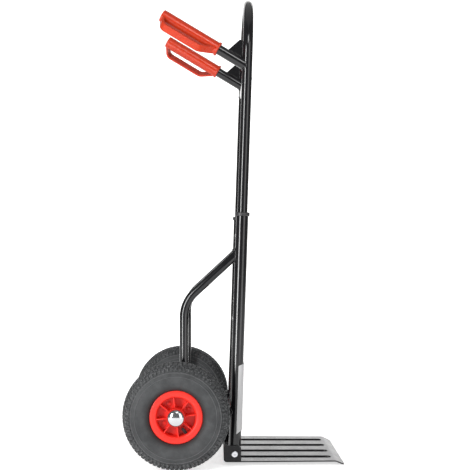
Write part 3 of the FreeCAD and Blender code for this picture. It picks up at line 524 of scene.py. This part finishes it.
half = tyre_half()
lining = []
for degrees in range(135, -136, -15):
    turn = math.radians(degrees)
    lining.append((LINING_HALF_WIDTH * math.sin(turn), CASING_MIDDLE_R + LINING_RISE * math.cos(turn)))
outline = [(-y, r) for y, r in half[:0:-1]] + half + lining
outline.append(outline[0])
tyre = draw_outline("tyre_cover_left", [wheel_centre + Vector((0, y, r)) for y, r in outline])
spin_outline(wheel_centre, TREAD_PITCHES * STEPS_PER_PITCH)


def tread_place(face):
    """(step within the pitch, distance from the middle, radius) of a face of the tyre."""
    spot = tyre.matrix_world @ face.calc_center_median() - wheel_centre
    turn = math.atan2(spot.x, spot.z) % math.tau
    step = int(turn / math.tau * TREAD_PITCHES * STEPS_PER_PITCH) % STEPS_PER_PITCH
    return step, spot.y / MM, math.hypot(spot.x, spot.z) / MM


def is_block(face):
    """The zigzag centre rib, two rows of blocks on each shoulder, and the studs at its edge."""
    step, y, radius = tread_place(face)
    if radius < 111.8:
        return False
    if abs(y) < 7:
        return step != (3 if y < 0 else 1)
    if 12 < abs(y) < 24:
        return step != 1
    if 27.5 < abs(y) < 32:
        return step != 3
    return abs(y) > 32 and radius < 118 and step in (0, 3)


def is_wall_ring(face):
    _, y, radius = tread_place(face)
    return abs(y) > 37 and any(start < radius < end for start, end in WALL_RINGS)


raise_faces(tyre, is_block, TREAD_DEPTH)
raise_faces(tyre, is_wall_ring, WALL_RING_HEIGHT)
settle(tyre, tyre_rubber, "wheel_left", bevel=0.5 * MM, segments=1, smooth=40)
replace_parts(tyre, "tyre_left")
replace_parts(copied(tyre, "tyre_cover_right", "wheel_right"), "tyre_right")

# ---- inner tubes and valves --------------------------------------------------------------------
# Black butyl air tubes inside the covers, each with a rubber-covered valve that comes out between
# two ribs of the rim.

tube_butyl = Finish("tube_butyl", {"IOR": 1.52})
bloom = tube_butyl.noise(60.0, detail=4.0)
tube_butyl.vary("Base Color", tube_butyl.blend(bloom, (0.012, 0.012, 0.013), (0.035, 0.035, 0.036)))
tube_butyl.vary("Roughness", 0.45 + bloom * 0.2)
tube_butyl.relief(tube_butyl.noise(900.0), 0.05 * MM)
tube_butyl.on(*both("inner_tube", "valve"))

# ---- rims --------------------------------------------------------------------------------------
# Two bright red polypropylene halves per wheel, injection-moulded with eight radial ribs and four
# bosses. Screws inside the bosses pull the halves together, so the bosses look closed from outside.

RIM_PROFILE = (
    (0, 14), (35, 14), (35, 22), (4.2, 22), (4.2, 46.2), (22.5, 46.6), (26.2, 48.6), (27.5, 51),
    (27.5, 61.5), (26.8, 63.6), (25.2, 64), (23.7, 63.6), (23.6, 50), (0, 50), (0, 14))
RIBS, FIRST_RIB, RIB_SIZE = 8, -83.0, (2.2, 22.0, 29.0)
BOSSES, FIRST_BOSS, BOSS_R, BOSS_HEIGHT = 4, -60.5, 5.0 * MM, 5.0 * MM

rim_red = Finish("rim_red_polypropylene", {
    "IOR": 1.49, "Specular IOR Level": 0.38, "Subsurface Weight": 0.08, "Subsurface Scale": 0.003})
flow = rim_red.noise(35.0, detail=3.0)
rim_red.vary("Base Color", rim_red.blend(flow, (0.80, 0.028, 0.016), (0.70, 0.020, 0.013)))
rim_red.vary("Roughness", 0.33 + flow * 0.12)
rim_red.relief(rim_red.noise(700.0), 0.04 * MM)


def wheel_point(y, radius):
    """A point straight above the axle: outward from the wheel's middle and up, in millimetres."""
    return wheel_centre + Vector((0, y, radius)) * MM


def round_and_turn(edge_radius, degrees):
    """Rounds the selected rib or boss and turns it about the axle to its place."""
    bpy.ops.mesh.bevel(offset=edge_radius, segments=2, affect="EDGES")
    bpy.ops.transform.rotate(
        value=math.radians(degrees), orient_axis="Y", center_override=wheel_centre)


rim_half = draw_outline("rim_half_outer_left", [wheel_point(y, r) for y, r in RIM_PROFILE])
spin_outline(wheel_centre, 96)
for index in range(RIBS):
    bpy.ops.mesh.select_all(action="DESELECT")
    bpy.ops.mesh.primitive_cube_add(size=MM, location=wheel_point(14.5, 35.0))
    bpy.ops.transform.resize(value=RIB_SIZE)
    round_and_turn(0.5 * MM, FIRST_RIB + index * 360.0 / RIBS)
for index in range(BOSSES):
    bpy.ops.mesh.select_all(action="DESELECT")
    bpy.ops.mesh.primitive_cylinder_add(vertices=24, radius=BOSS_R, depth=BOSS_HEIGHT,
                                        location=wheel_point(4.6, 34.0), rotation=(math.pi / 2, 0, 0))
    round_and_turn(0.9 * MM, FIRST_BOSS + index * 360.0 / BOSSES)
settle(rim_half, rim_red, "wheel_left", bevel=0.35 * MM, segments=1, smooth=38)

across_wheel = Matrix.Translation((0, 2 * wheel_centre.y, 0)) @ ACROSS_TRUCK
for half_rim, kind in ((rim_half, "outer"),
                       (copied(rim_half, "rim_half_inner_left", "wheel_left", across_wheel), "inner")):
    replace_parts(half_rim, f"rim_{kind}_left")
    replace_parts(copied(half_rim, f"rim_half_{kind}_right", "wheel_right"), f"rim_{kind}_right")

# ---- hub caps ----------------------------------------------------------------------------------
# Domes with a short skirt, deep-drawn from thin steel and chromed. They are pushed over the ends of
# the axle and hide its washers.

CAP_SKIRT, CAP_OVERLAP = 2.2 * MM, 0.3 * MM
CAP_EDGE = (0.9, 1.0, 0.9)             # the skirt's edge, turned in as a narrow ring

cap_chrome = Finish("cap_chrome", {"Metallic": 1.0})
film = cap_chrome.noise(60.0)
cap_chrome.vary("Base Color", cap_chrome.blend(film, (0.66, 0.67, 0.68), (0.55, 0.56, 0.58)))
cap_chrome.vary("Roughness", 0.10 + film * 0.06)

cap_low, cap_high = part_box("hub_cap_left")
cap_middle = (cap_low + cap_high) / 2
cap_r = (cap_high.x - cap_low.x) / 2
dome_y = cap_low.y + CAP_SKIRT
cap = start_piece("hub_cap_dome_left", bpy.ops.mesh.primitive_uv_sphere_add, segments=72,
                  ring_count=36, radius=cap_r, location=(cap_middle.x, dome_y, cap_middle.z),
                  rotation=(math.pi / 2, 0, 0))
bpy.ops.transform.resize(value=(1.0, (cap_high.y - dome_y) / cap_r, 1.0))
bpy.ops.mesh.bisect(plane_co=(0, dome_y + CAP_OVERLAP, 0), plane_no=(0, 1, 0), clear_inner=True)
bpy.ops.mesh.select_all(action="DESELECT")
bpy.ops.mesh.select_mode(type="EDGE")
bpy.ops.mesh.select_non_manifold()
bpy.ops.mesh.extrude_region_move(TRANSFORM_OT_translate={"value": (0, -CAP_SKIRT, 0)})
extrude_to((0, 0, 0), CAP_EDGE)
bpy.ops.mesh.extrude_region_move(TRANSFORM_OT_translate={"value": (0, CAP_SKIRT, 0)})
bpy.ops.mesh.edge_face_add()
bpy.ops.mesh.select_all(action="SELECT")
bpy.ops.mesh.normals_make_consistent(inside=False)
settle(cap, cap_chrome, "lower_frame", smooth=40)
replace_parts(cap, "hub_cap_left")
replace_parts(copied(cap, "hub_cap_dome_right", "lower_frame"), "hub_cap_right")

# ---- grips -------------------------------------------------------------------------------------
# Orange-red soft vinyl, injection-moulded in one with a hand guard and pushed hard on to the handle
# tubes. The collar at the front end has a knurled ring.

GRIP_START, KNURLS, KNURL_HEIGHT = 82.0, 22, 1.0 * MM
BAND_PROFILE = ((0.6, 16.2), (5.2, 16.2), (5.2, 17.0), (0.6, 17.0), (0.6, 16.2))

grip_vinyl = Finish("grip_orange_red_vinyl", {
    "IOR": 1.5, "Specular IOR Level": 0.4, "Subsurface Weight": 0.12, "Subsurface Scale": 0.004})
mottle = grip_vinyl.noise(45.0, detail=4.0)
grip_vinyl.vary("Base Color", grip_vinyl.blend(mottle, (0.50, 0.034, 0.004), (0.40, 0.020, 0.003)))
grip_vinyl.vary("Roughness", 0.22 + mottle * 0.10)
grip_vinyl.relief(grip_vinyl.noise(800.0), 0.05 * MM)
grip_vinyl.on(*both("grip"))

collar = handle_axis + handle_along * GRIP_START * MM
band = draw_outline("grip_knurled_collar_left", [
    collar + (handle_along * along + handle_square * r) * MM for along, r in BAND_PROFILE])
spin_outline(collar, 2 * KNURLS, handle_along)


def is_knurl(face):
    """Every second face of the band's outer side."""
    spoke = band.matrix_world @ face.calc_center_median() - collar
    spoke -= handle_along * spoke.dot(handle_along)
    turn = math.atan2(spoke.y, spoke.dot(handle_square)) % math.tau
    return face.normal.dot(spoke.normalized()) > 0.9 and int(turn / math.tau * 2 * KNURLS) % 2 == 0


raise_faces(band, is_knurl, KNURL_HEIGHT)
settle(band, grip_vinyl, "upper_frame", bevel=0.3 * MM, smooth=40)
copied(band, "grip_knurled_collar_right", "upper_frame", Matrix.Translation((0, -2 * LEG_Y * MM, 0)))

# ---- floor, light and camera -------------------------------------------------------------------
# A plain pale floor and a pale screen behind it. A tall narrow light in front on the left gives the
# tubes their streak, a wide weak one fills from the right, and a small high one lights the grips.

FLOOR_SIZE, SCREEN_SIZE, SCREEN_Y = 12.0, (2.6, 3.0), 2.2

floor = start_piece("studio_floor", bpy.ops.mesh.primitive_plane_add, size=FLOOR_SIZE,
                    location=(0, 0, 0))
bpy.ops.object.mode_set(mode="OBJECT")
backdrop = start_piece("studio_backdrop", bpy.ops.mesh.primitive_plane_add, size=1.0,
                       location=(0, SCREEN_Y, SCREEN_SIZE[1] / 2), rotation=(math.pi / 2, 0, 0))
bpy.ops.transform.resize(value=(SCREEN_SIZE[0], 1.0, SCREEN_SIZE[1]))
bpy.ops.object.mode_set(mode="OBJECT")
bpy.context.view_layer.update()
pale = Finish("studio_pale", {
    "Base Color": (0.9, 0.9, 0.9, 1.0), "Roughness": 0.9, "Specular IOR Level": 0.0,
    "Emission Color": (1.0, 1.0, 1.0, 1.0), "Emission Strength": 0.62})
for stage_piece in (floor, backdrop):
    stage_piece.data.transform(stage_piece.matrix_world)
    stage_piece.matrix_world = Matrix.Identity(4)
    stage_piece.data.materials.append(pale.material)


def soft_light(name, place, aim, width, height, radiance):
    """A rectangular soft light; its power follows from its brightness and its size."""
    lamp = bpy.data.lights.new(name, "AREA")
    lamp.shape = "RECTANGLE"
    lamp.size = width
    lamp.size_y = height
    lamp.energy = radiance * math.pi * width * height
    light = bpy.data.objects.new(name, lamp)
    bpy.context.scene.collection.objects.link(light)
    light.location = place
    light.rotation_euler = (Vector(aim) - Vector(place)).to_track_quat("-Z", "Y").to_euler()


soft_light("overhead", (0.1, 0.1, 2.9), (0.0, 0.0, 0.0), 2.6, 2.6, 0.3)
soft_light("tall_strip", (-1.70, -2.05, 0.75), (0.0, 0.0, 0.65), 0.55, 2.2, 20.0)
soft_light("high_key", (0.26, -1.56, 1.90), (-0.10, 0.0, 1.05), 0.6, 0.4, 10.0)
soft_light("wide_panel", (1.55, -1.95, 0.9), (0.0, 0.0, 0.6), 1.25, 2.2, 2.3)

world = bpy.data.worlds.new("studio_room")
bpy.context.scene.world = world
world.use_nodes = True
world.node_tree.nodes["Background"].inputs["Color"].default_value = (1.0, 1.0, 1.0, 1.0)
world.node_tree.nodes["Background"].inputs["Strength"].default_value = 0.20
bpy.context.scene.view_settings.view_transform = "Standard"

# The camera stands 2.6 m off the truck's right side, level with the lower half of the frame, and
# looks square at it. The small shift centres the truck.
camera_data = bpy.data.cameras.new("camera")
camera_data.sensor_width = 36.0
camera_data.lens = 76.9
camera_data.shift_x = 0.0447
camera_data.shift_y = 0.0434
camera = bpy.data.objects.new("camera", camera_data)
bpy.context.scene.collection.objects.link(camera)
camera.location = (-0.0505, -2.632, 0.516)
camera.rotation_euler = (math.pi / 2, 0, 0)
bpy.context.scene.camera = camera
